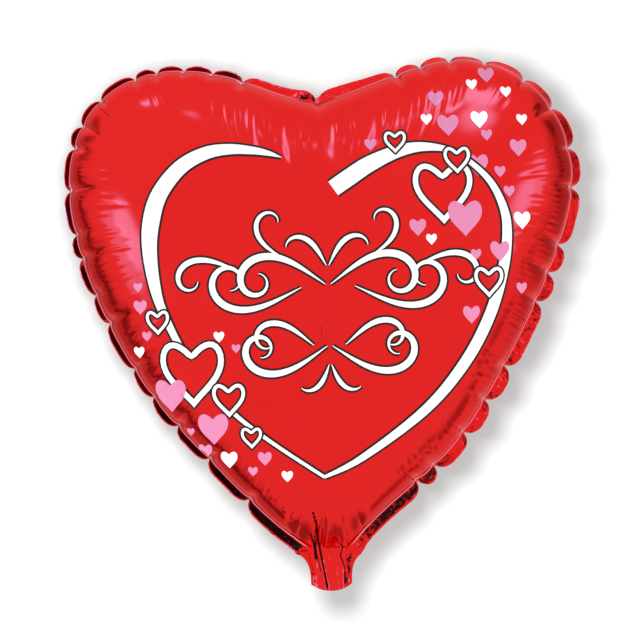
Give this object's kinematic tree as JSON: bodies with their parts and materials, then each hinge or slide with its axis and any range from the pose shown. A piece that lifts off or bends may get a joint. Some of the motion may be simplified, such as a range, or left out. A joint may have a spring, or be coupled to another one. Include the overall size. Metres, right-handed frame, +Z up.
{
  "type": "foil balloon",
  "caption": "Inflated heart-shaped foil balloon with a scalloped welded seam, a folding neck tail and a flat self-sealing valve tube inside.",
  "frame": {"origin": "middle of the neck, on the line where the tail folds and where a ribbon or stick holds the balloon", "axes": "+Z up from the tail to the lobes, -Y out of the printed front, +X to the viewer's right"},
  "size_m": [0.399, 0.16, 0.4104],
  "materials": {
    "foil": "mirror-like metallised red film",
    "valve_film": "hazy clear film",
    "release_ink": "matt ink",
    "print_white": "opaque gloss ink",
    "print_pink": "opaque gloss ink",
    "print_outline": "dark gloss ink"
  },
  "bodies": {
    "envelope": {"front_panel": "foil", "back_panel": "foil", "valve_throat_front": "valve_film", "valve_throat_back": "valve_film", "release_ink": "release_ink"},
    "tail": {"tail_front": "foil", "tail_back": "foil", "valve_inlet_front": "valve_film", "valve_inlet_back": "valve_film"},
    "valve_sleeve": {"valve_sleeve_front": "valve_film", "valve_sleeve_back": "valve_film"}
  },
  "joints": [
    {"name": "tail_fold", "type": "hinge", "parent": "envelope", "child": "tail", "pos_m": [0, 0, 0], "axis": [1, 0, 0], "range_deg": [-90, 90]},
    {"name": "sleeve_flop", "type": "hinge", "parent": "envelope", "child": "valve_sleeve", "pos_m": [0, 0, 0.0098], "axis": [1, 0, 0], "range_deg": [-15, 15]}
  ]
}
